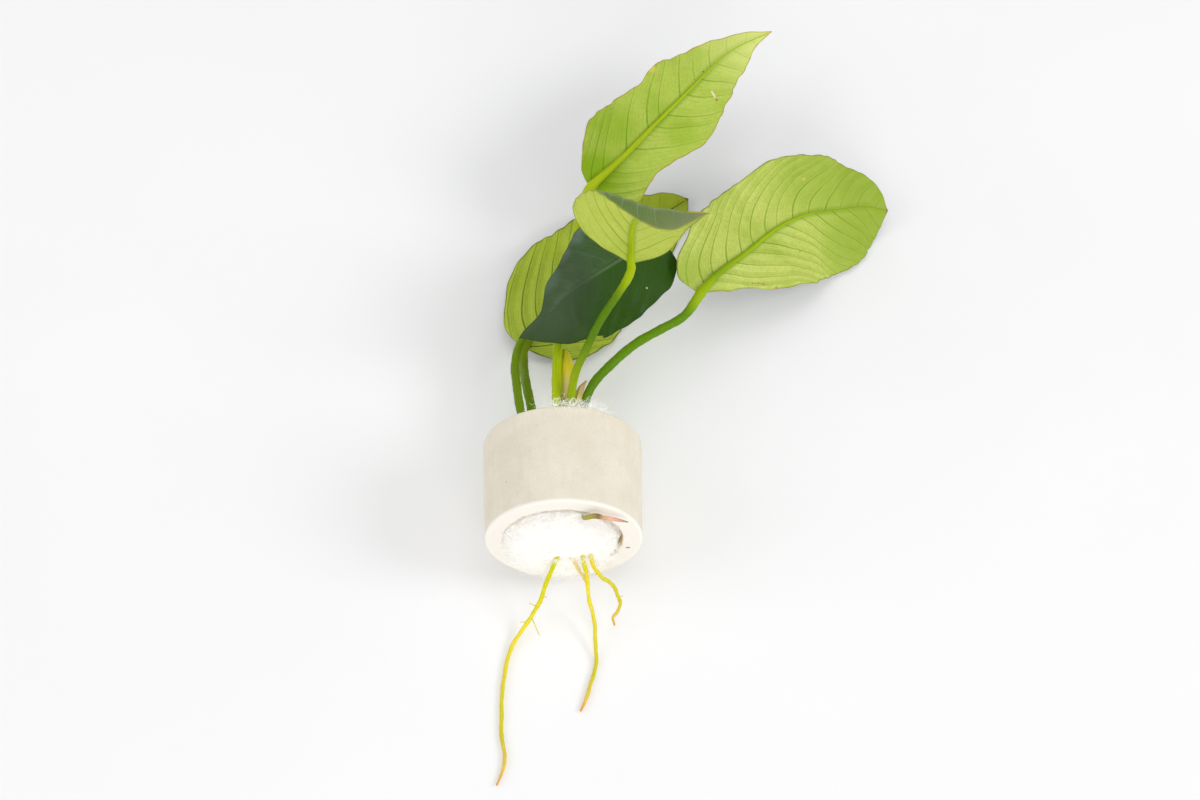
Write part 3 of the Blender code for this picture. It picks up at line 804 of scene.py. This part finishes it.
under_top = blade_finish(
    "leaf_top_underside", (182, 200, 84), (140, 176, 16), (108, 148, 6), (176, 140, 56),
    (220, 228, 134), 5.3,
    marks_and_sheen=(((-5.9, 54.7), 0.5, (240, 232, 208)), ((-6.4, 54.5), 0.5, (240, 232, 208)),
           ((-6.9, 54.3), 0.5, (240, 232, 208)), ((-7.4, 54.1), 0.5, (236, 222, 196)),
           ((-7.9, 54), 0.5, (226, 200, 170)), ((-8.4, 53.9), 0.5, (196, 150, 110)),
           ((-8.8, 53.9), 0.6, (150, 110, 70)), ((0.9, 58.1), 0.45, (92, 108, 40)),
           ((14.2, 45.1), 1.9, (206, 206, 80)), ((12.6, 45.3), 0.6, (212, 164, 120)),
           ((0, 92.4), 1.9, (200, 138, 70))),
    richer=(((9, 20), 13, 0.62), ((-8, 36), 9, 0.5), ((2, 3), 16, 1)),
)
under_right = blade_finish(
    "leaf_right_underside", (196, 208, 102), (144, 172, 34), (112, 150, 4), (134, 136, 42),
    (142, 168, 44), 9.2, gloss=0.36, shine=0.22,
    marks_and_sheen=(((-9.4, 19.8), 0.5, (160, 120, 60)), ((-9.9, 20.7), 0.45, (168, 140, 70)),
           ((-10.5, 21.6), 0.5, (168, 126, 66)), ((-11.2, 22.2), 0.45, (168, 140, 70)),
           ((-11.8, 22.7), 0.5, (160, 120, 60)), ((-15.2, 25.6), 0.8, (178, 130, 80)),
           ((-10.4, 43.9), 0.4, (120, 130, 50)), ((11.7, 56.5), 0.7, (206, 190, 100)),
           ((0, 86.5), 1.5, (140, 120, 60))),
    richer=(((10, 60), 20, 0.6), ((6, 78), 20, 0.75), ((-10, 70), 17, 0.6), ((8, 4), 9, 0.5)),
)
under_back = blade_finish(
    "leaf_back_underside", (186, 204, 72), (164, 186, 38), (80, 106, 8), (88, 96, 18),
    (180, 196, 46), 2.4, marks_and_sheen=(((0, 84), 1.5, (120, 92, 44)),),
)
under_folded = blade_finish(
    "leaf_folded_underside", (200, 213, 98), (188, 205, 72), (146, 172, 42), (150, 158, 56),
    (178, 168, 86), 7.7,
)
under_dark = blade_finish(
    "leaf_dark_underside", (160, 180, 60), (140, 170, 34), (96, 130, 16), DARK_RIM,
    (150, 170, 50), 6.1,
)
undersides = dict(leaf_top=under_top, leaf_right=under_right, leaf_back=under_back)
for name, leaf in LEAVES.items():
    if name == "leaf_dark":
        make_blade("dark_leaf_blade", leaf, open_blade, 120, 210, (dark_upper_side, under_dark), 0.1,
                   "leaf_upper_side", name)
    else:
        make_blade(name + "_blade", leaf, open_blade, 120, 240, (upper_side, undersides[name]), 0.2,
                   "leaf", name)
make_blade("leaf_folded_blade", FOLDED_LEAF, folded_blade, 110, 200, (folded_upper_side, under_folded),
           0.15, "leaf", "leaf_folded")

# ---- Petioles and midribs
# Each leaf hangs on one smooth stalk that comes out of the wool. It swells at a joint just under the
# blade, and runs on along the underside as the midrib, thinning to nothing at the leaf's tip.
RIB_FOOT, RIB_TIP = 1.19, 0.14
RIB_POINTS = 90
JOINT_SWELL = 0.22
STALKS = {
    # Each stalk: its leaf, its way up to the joint, its radii, and its tones at the foot, in the middle,
    # at the top and at the thin end of the midrib.
    "stem_dark": (
        "leaf_dark",
        ((-10.6, 12, 24.2), (-11.4, 21.8, 24.6), (-13, 29.5, 24), (-14.5, 42, 22), (-15, 51.5, 20.3),
         (-13, 59, 21), (0, 68, 24.5), (19, 84.5, 26), (28.5, 91, 27.2)),
        (1.4, 1.4, 1.3), (104, 134, 4), (112, 140, 8), (120, 150, 8), (140, 164, 10),
    ),
    "stem_back": (
        "leaf_back",
        ((-7.4, 12, 21.4), (-8.2, 21.8, 21), (-9.6, 33, 19.6), (-11.5, 45.5, 16), (-12.5, 57, 9.5)),
        (1.5, 1.5, 1.6), (108, 142, 0), (116, 140, 8), (120, 146, 8), (84, 110, 8),
    ),
    "stem_top": (
        "leaf_top",
        ((-2.4, 12, 25), (-2, 22, 25.5), (-1.6, 32, 26), (-1.5, 44, 24), (-1, 57.5, 21), (1, 79.5, 20),
         (5.5, 100, 22.5)),
        (1.7, 1.6, 1.4), (182, 202, 0), (178, 198, 8), (176, 196, 20), (168, 192, 0),
    ),
    "stem_folded": (
        "leaf_folded",
        ((1.6, 12, 23), (2.2, 22, 24.5), (2.8, 31.5, 27.5), (5, 41, 33), (7.5, 45, 36), (12.5, 53.5, 41),
         (19, 62.5, 44.6), (22, 67.5, 45.6)),
        (1.3, 1.3, 1.2), (156, 182, 0), (84, 122, 0), (172, 194, 2), (188, 206, 10),
    ),
    "stem_right": (
        "leaf_right",
        ((5.4, 12, 22.6), (5.9, 21.8, 23.2), (6.9, 31.5, 25.3), (9.8, 38.5, 26.5), (16, 46, 27),
         (24.5, 53.5, 28), (32, 58, 28.5), (40, 63.5, 28)),
        (1.3, 1.5, 1.4), (92, 134, 0), (92, 136, 0), (160, 186, 0), (136, 168, 0),
    ),
}


def tube(name, line, radii, sides):
    """A round stalk or root along a line of close points, rounded at both ends."""
    ahead = unit(np.gradient(line, axis=0))
    side = unit(np.cross(ahead[0], (0.3, 0.2, 1)))
    angles = np.linspace(0, 2 * math.pi, sides, endpoint=False)
    length = distances(line)
    sections, layers = [], []
    rounded = [(-0.6, 0.55), (-0.3, 0.85), (0, 1)]
    for number, (point, way, radius) in enumerate(zip(line, ahead, radii)):
        side = unit(side - way * np.dot(side, way))
        other = np.cross(way, side)
        if number == 0:
            rings = rounded
        elif number == len(line) - 1:
            rings = [(-shift, share) for shift, share in rounded[::-1]]
        else:
            rings = [(0, 1)]
        for shift, share in rings:
            circle = side * np.cos(angles)[:, None] + other * np.sin(angles)[:, None]
            sections.append(point + way * shift * radius + circle * radius * share)
            how_far = np.full(sides, length[number])
            layers.append(np.stack([np.cos(angles), np.sin(angles), how_far], axis=1))
    piece = skin(name, sections)
    last = length[-1]
    rows = np.concatenate([*layers, [(0, 0, 0), (0, 0, last)]])
    keep(piece, "stalk_map", rows)
    keep(piece, "share_map", rows[:, 2:] / last * (1, 0, 0))
    return piece


def under_midrib(leaf, folded, radii):
    """A line under the blade's midrib, so deep that a rib of these radii stays off the upper side."""
    count = len(radii)
    along = np.linspace(0, 1, count)
    shape_of = folded_blade if folded else open_blade
    ways = (np.full(count, -0.06), np.full(count, 0.06), np.zeros(count))
    left, right, middle = (shape_of(leaf, way, along)[0] for way in ways)
    above = unit(np.cross(right - left, np.gradient(middle, axis=0)))
    return middle - above * (0.32 + 0.95 * radii)[:, None]


for name, (leaf_name, points, stalk_radii, lower, middle, upper, thin_end) in STALKS.items():
    folded = leaf_name == "leaf_folded"
    swollen = np.exp(-np.arange(RIB_POINTS) / 5) * (stalk_radii[-1] * (1 + JOINT_SWELL) - RIB_FOOT)
    thinning = (1 - np.linspace(0, 1, RIB_POINTS)) ** 1.7
    rib_radii = RIB_TIP + (RIB_FOOT - RIB_TIP) * thinning + swollen
    rib = under_midrib(FOLDED_LEAF if folded else LEAVES[leaf_name], folded, rib_radii)
    stalk = path([*points, rib[0], rib[6], rib[12]], 150)
    cut = int(np.argmin(np.linalg.norm(stalk - rib[0], axis=1)))
    stalk = stalk[:cut]
    line = np.concatenate([stalk, rib[:-2]])
    share = np.linspace(0, 1, cut)
    radii = spread(stalk_radii, cut) * (1 + JOINT_SWELL * np.exp(-((1 - share) / 0.09) ** 2))
    radii = np.concatenate([radii, rib_radii[:-2]])
    length = distances(line)
    even = np.linspace(0, length[-1], 260)
    line = read_rows(line, length, even)
    for _ in range(6):
        line[1:-1] = (line[:-2] + 2 * line[1:-1] + line[2:]) / 4
    radii = np.interp(even, length, radii)
    radii = radii * (1 + 0.03 * np.sin(even * 0.9) + 0.02 * np.sin(even * 2.3))
    stalk_piece = tube(name + "_stalk", line, radii, 20)
    look, shader, place = new_finish(name + "_skin", Specular_IOR_Level=0.14)
    grain_at = place.kept("stalk_map")
    share_along = place.kept("share_map").parts()[0]
    ribs = grain_at.stretched(2.2, 2.2, 0.05).grain(2.4, 3)
    mottle = grain_at.stretched(1, 1, 0.8).grain(2.2, 3)
    near_joint = place.spot(tuple(metres(stalk[-1])), 3 * MM, 11 * MM)
    colour = share_along.between(0.2, 0.35).mix(lower, middle)
    colour = share_along.between(0.4, 0.7).mix(colour, upper)
    colour = (ribs.between(0.4, 0.7) * 0.35).mix(colour, (82, 118, 0))
    colour = (mottle.between(0.5, 0.75) * 0.2).mix(colour, (176, 196, 30))
    colour = (near_joint * 0.7).mix(colour, upper)
    colour = share_along.between(0.72, 1.0).mix(colour, thin_end)
    (0.38 + 0.14 * mottle).into(shader, "Roughness")
    coat(shader, colour, ribs + mottle * 0.4, 0.35, 0.0002)
    done(stalk_piece, look, "stem", name)

# ---- Sheath and dry scale
# A thin pointed sheath stands at the foot of the middle stalks, yellow with a beige base. Beside it
# lies a dry papery scale, a dead leaf base. Both are skins under half a millimetre thick.
SKIN_THICKNESS = 0.22
THIN_SKINS = {
    "leaf_sheath": (
        ((0.3, 22.3, 24.2), (1, 31, 25.3), (1.5, 39, 25), (2.1, 45, 24.5), (1.8, 50, 23.2),
         (1.2, 55.5, 21)),
        (0.9, 1.3, 1.6, 2.2, 2.2, 0.8), (210, 194, 124), (224, 208, 0), "sheath",
    ),
    "dry_scale": (
        ((4.5, 30, 25.6), (5.2, 33.5, 27.2), (6.1, 36.5, 27.8), (8, 39, 28.4)),
        (0.8, 1.2, 1.1, 0.3), (214, 200, 112), (204, 172, 120), "dry_scale",
    ),
}
for name, (points, widths, base_tone, end_tone, slot) in THIN_SKINS.items():
    deselect()
    bpy.ops.mesh.primitive_grid_add(x_subdivisions=16, y_subdivisions=60, size=2, location=(0, 0, 0))
    piece = bpy.context.object
    piece.name = name + "_skin"
    flat = corners_of(piece.data)
    along = (flat[:, 1] + 1) / 2
    middle = path(points, 200)
    ahead = unit(np.gradient(middle, axis=0))
    aside = unit(np.cross(ahead, (0, 0, 1)))
    above = np.cross(aside, ahead)
    steps = np.linspace(0, 1, 200)
    middle, aside, above = (read_rows(line, steps, along) for line in (middle, aside, above))
    half = smooth(widths, np.linspace(0, 1, len(widths)), along)
    bend = np.abs(flat[:, 0]) ** 2 * half * 0.7
    ripple = 0.08 * np.sin(flat[:, 0] * 9) + 0.1 * np.sin(along * 17 + flat[:, 0] * 2)
    places = middle + aside * (flat[:, 0] * half)[:, None] - above * (bend + ripple - 0.5)[:, None]
    put_corners(piece.data, metres(places))
    keep(piece, "skin_map", np.stack([flat[:, 0], along, half], axis=1))
    thicken = piece.modifiers.new("thicken", "SOLIDIFY")
    thicken.thickness = SKIN_THICKNESS * MM
    bpy.ops.object.modifier_apply(modifier="thicken")
    bpy.ops.object.shade_smooth()
    look, shader, place = new_finish(name + "_finish", Roughness=0.55)
    threads = place.kept("skin_map").stretched(5, 0.8, 0).grain(2, 3)
    towards_end = place.kept("skin_map").parts()[1].between(0.4, 0.75)
    colour = towards_end.mix(base_tone, end_tone)
    colour = (threads.between(0.4, 0.7) * 0.45).mix(colour, (140, 132, 50))
    coat(shader, colour, threads, 0.5, 0.0002)
    done(piece, look, slot, name)

# ---- Roots
# Yellow roots leave the wool low on the base end, arch over its bulge and lie down on the table. They
# are round, a little knotted and kinked, with an orange tip, and carry a few hair-thin rootlets.
ROOT_POINTS = 260
ROOTS = {
    # Each root: its way from inside the wool to its tip, and its radii
    "root_long": (
        ((-5.5, 12, 23), (-2.6, -8, 22), (-2, -20.3, 20.4), (-3.5, -22.2, 17), (-6, -26, 12),
         (-7.5, -29.5, 9), (-10.5, -33, 5), (-16.5, -41.5, 1.5), (-18.5, -47.5, 1.1), (-19.5, -55, 1),
         (-20, -63.5, 1), (-20, -72, 1), (-19, -78.5, 1), (-19.5, -83, 1), (-21.5, -88.5, 0.9)),
        (0.8, 0.8, 0.75, 0.7, 0.65, 0.6, 0.6, 0.5),
    ),
    "root_middle": (
        ((3.6, 12, 23.5), (5.4, -8, 22.5), (5.8, -20.2, 20.8), (7, -24.1, 15.3), (7.5, -29, 11),
         (9, -35, 6.5), (9.5, -40.5, 3), (9.5, -47.5, 1.1), (8, -54.5, 1), (6, -60.5, 1), (4.5, -64, 1)),
        (0.7, 0.7, 0.65, 0.6, 0.6),
    ),
    "root_short": (
        ((6.8, 12, 24), (8.4, -8, 22.5), (8.4, -19.8, 20.8), (9.3, -22.4, 17.2), (12, -24.5, 14),
         (15, -26, 12), (16.5, -28.5, 10), (17.5, -31, 8), (16.5, -32.5, 6), (15, -34, 5), (15.5, -36, 4)),
        (0.8, 0.75, 0.65, 0.5),
    ),
    "root_pale": (
        ((0, 12, 22), (1.3, -8, 21), (2, -20.1, 20), (4, -21.9, 16.3), (6, -23.4, 12.5), (7, -24.7, 10)),
        (0.6, 0.6, 0.5),
    ),
}
ROOTLETS = {
    # root: place along it, the way the rootlet runs, how long it is
    "root_long": ((0.417, (1, -0.5, 0.3), 1.6), (0.43, (1, -1.2, 0.1), 1),
                  (0.448, (-1.2, 0.3, 0.2), 2.8), (0.483, (1.1, -3, 0), 7), (0.502, (-1, 0.2, 0.2), 2.2)),
    "root_middle": ((0.45, (1, -0.4, 0.3), 1.1),),
    "root_short": ((0.831, (1, 0.3, 0.1), 1.5), (0.664, (-1, -0.6, 0.2), 1.2),
                   (0.76, (-1, -0.2, 0.1), 0.9)),
    "root_pale": (),
}
ROOTLET_POINTS = 16
PALE_STAGES = ((0, (238, 226, 130)), (0.6, (244, 232, 170)), (1, (238, 206, 120)))
YELLOW_STAGES = (
    (0, (206, 208, 30)), (0.3, (206, 206, 0)), (0.4, (216, 210, 6)),
    (0.52, (236, 218, 58)), (0.85, (208, 198, 36)), (0.95, (230, 196, 84)),
    (1, (222, 158, 62)),
)
rng = random.Random(21)
for name, (points, thicknesses) in ROOTS.items():
    pale = name == "root_pale"
    line = path(points, ROOT_POINTS)
    steps = np.linspace(0, 1, ROOT_POINTS)
    for axis in (0, 1):
        kinks = 0.1 * np.sin(steps * 41 + axis * 2) + 0.05 * np.sin(steps * 97 + axis)
        line[:, axis] += kinks * np.clip(steps * 3 - 1, 0, 1)
    radii = spread(thicknesses, ROOT_POINTS)
    radii = radii * (1 + 0.06 * np.sin(steps * 90) + 0.05 * np.sin(steps * 214 + 1))
    radii[-14:] *= np.linspace(1, 0.55, 14)
    line[:, 2] = np.maximum(line[:, 2], radii + 0.02)
    root = tube(name + "_skin", line, radii, 14)
    look, shader, place = new_finish(name + "_finish", Specular_IOR_Level=0.15)
    share_along = place.kept("share_map").parts()[0]
    knots_at = place.kept("stalk_map").stretched(0.6, 0.6, 0.5).grain(1.7, 3)
    stages = {"stops": PALE_STAGES if pale else YELLOW_STAGES}
    colour = share_along.node("ValToRGB", stages, {"Fac": share_along})
    colour = (knots_at.between(0.5, 0.72) * 0.4).mix(colour, (196, 180, 40))
    colour = (knots_at.between(0.28, 0.42) * -0.3 + 0.3).mix(colour, (248, 242, 150))
    (0.4 + 0.2 * knots_at).into(shader, "Roughness")
    coat(shader, colour, knots_at, 0.4, 0.0002)
    done(root, look, "pale_root" if pale else "root", name)
    for number, (share, way, length) in enumerate(ROOTLETS[name]):
        start = line[int(share * (ROOT_POINTS - 1))]
        way = unit(np.array(way, float))
        bend = np.cross(way, (0, 0, 1)) * rng.uniform(-0.4, 0.4)
        run = np.linspace(0, 1, ROOTLET_POINTS)[:, None]
        thread = start + (way * run + bend * run ** 2) * length
        thread[:, 2] = np.maximum(thread[:, 2], 0.2)
        rootlet = tube(f"{name}_rootlet_{number}", thread, np.linspace(0.2, 0.11, ROOTLET_POINTS), 8)
        done(rootlet, look, "root")

# Wool clings to each root where it comes out.
FIBRES_AT_EXIT = 45
exits = np.array([(-2.2, -20.9, 20), (6, -20.8, 20.2), (8.5, -20.2, 20.2), (2.3, -20.6, 19.6)])
count = len(exits) * FIBRES_AT_EXIT
starts = np.repeat(exits, FIBRES_AT_EXIT, axis=0) + dice.normal(0, 0.55, (count, 3))
ways = unit(dice.normal(size=(count, 3)) + (0, -0.9, -0.6))
outs = unit(np.cross(ways, unit(dice.normal(size=(count, 3)))))
strands = fibres("wool_fibres_roots", starts, ways, outs, dice.uniform(0.7, 1.7, count), 0.05, 3)
done(strands, fluff, "wool")

# ---- Side shoot
# A young shoot looks out of the wool at the top of the base end: an olive bud, a dark joint, a pink
# stalk and an olive tip. It is thin and soft, and lies just over the rim of the ring.
SHOOT_PATH = (
    (5.6, -14.5, 39.3), (6.2, -17.6, 40.4), (7.3, -19, 42.8), (9.4, -19.1, 43.9), (12.5, -19, 42.6),
    (16, -19, 41.3), (19.8, -19.2, 40),
)
SHOOT_RADII = (0.4, 0.55, 0.75, 0.85, 0.75, 0.55, 0.2)
SHOOT_POINTS = 120
SHOOT_STAGES = (
    (0, (150, 148, 40)), (0.4, (166, 156, 50)), (0.5, (120, 100, 50)),
    (0.58, (206, 160, 110)), (0.7, (232, 184, 156)), (0.88, (214, 150, 124)),
    (1, (150, 140, 60)),
)
line = path(SHOOT_PATH, SHOOT_POINTS)
steps = np.linspace(0, 1, SHOOT_POINTS)
waist = np.exp(-((steps - 0.6) / 0.03) ** 2)
radii = spread(SHOOT_RADII, SHOOT_POINTS) * (1 - 0.2 * waist)
shoot = tube("side_shoot_skin", line, radii, 16)
look, shader, place = new_finish("shoot_skin", Roughness=0.5)
share_along = place.kept("share_map").parts()[0]
colour = share_along.node("ValToRGB", {"stops": SHOOT_STAGES}, {"Fac": share_along})
fleck = place.grain(900, 3)
colour = (fleck.between(0.5, 0.7) * 0.35).mix(colour, (196, 150, 104))
coat(shader, colour, fleck, 0.4, 0.0002)
done(shoot, look, "shoot", "side_shoot")
